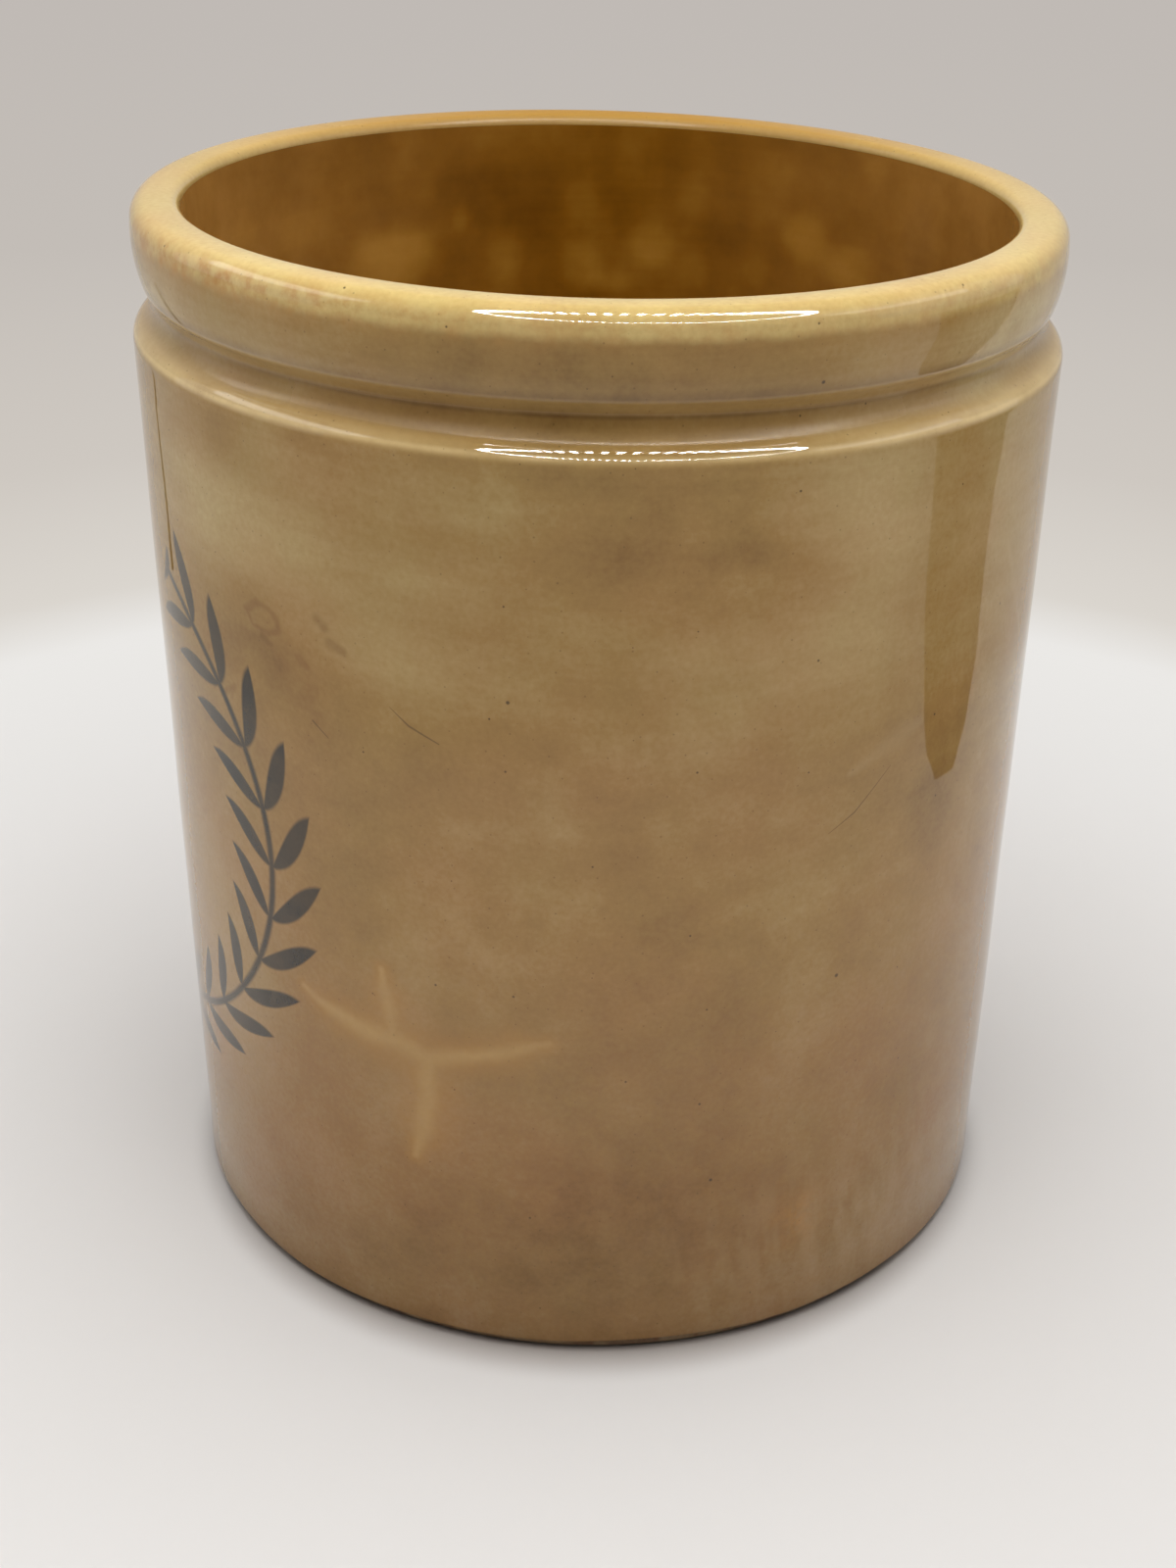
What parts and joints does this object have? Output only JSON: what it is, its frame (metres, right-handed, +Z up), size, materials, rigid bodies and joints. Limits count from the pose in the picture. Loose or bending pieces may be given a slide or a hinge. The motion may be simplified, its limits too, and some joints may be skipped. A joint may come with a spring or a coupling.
{
  "type": "stoneware jar",
  "caption": "Straight-sided stoneware food jar with a rolled rim, a string groove for a tied cover, a flat foot and a stained honey glaze.",
  "frame": {"origin": "on the jar's axis, in the plane of the standing ring that touches the table", "axes": "+Z up along the axis of turning, out of the mouth; -Y is the side that the picture shows"},
  "size_m": [0.1, 0.1, 0.117],
  "materials": {
    "bare_stoneware": "fired and unglazed, fine grained",
    "honey_glaze": "clear glossy glaze over cream ware, stained honey brown with age",
    "brown_liner_glaze": "clear glossy glaze, deeply stained and mottled brown"
  },
  "bodies": {
    "root": {"clay_body": "bare_stoneware", "outer_glaze": "honey_glaze", "inner_glaze": "brown_liner_glaze"}
  },
  "joints": []
}
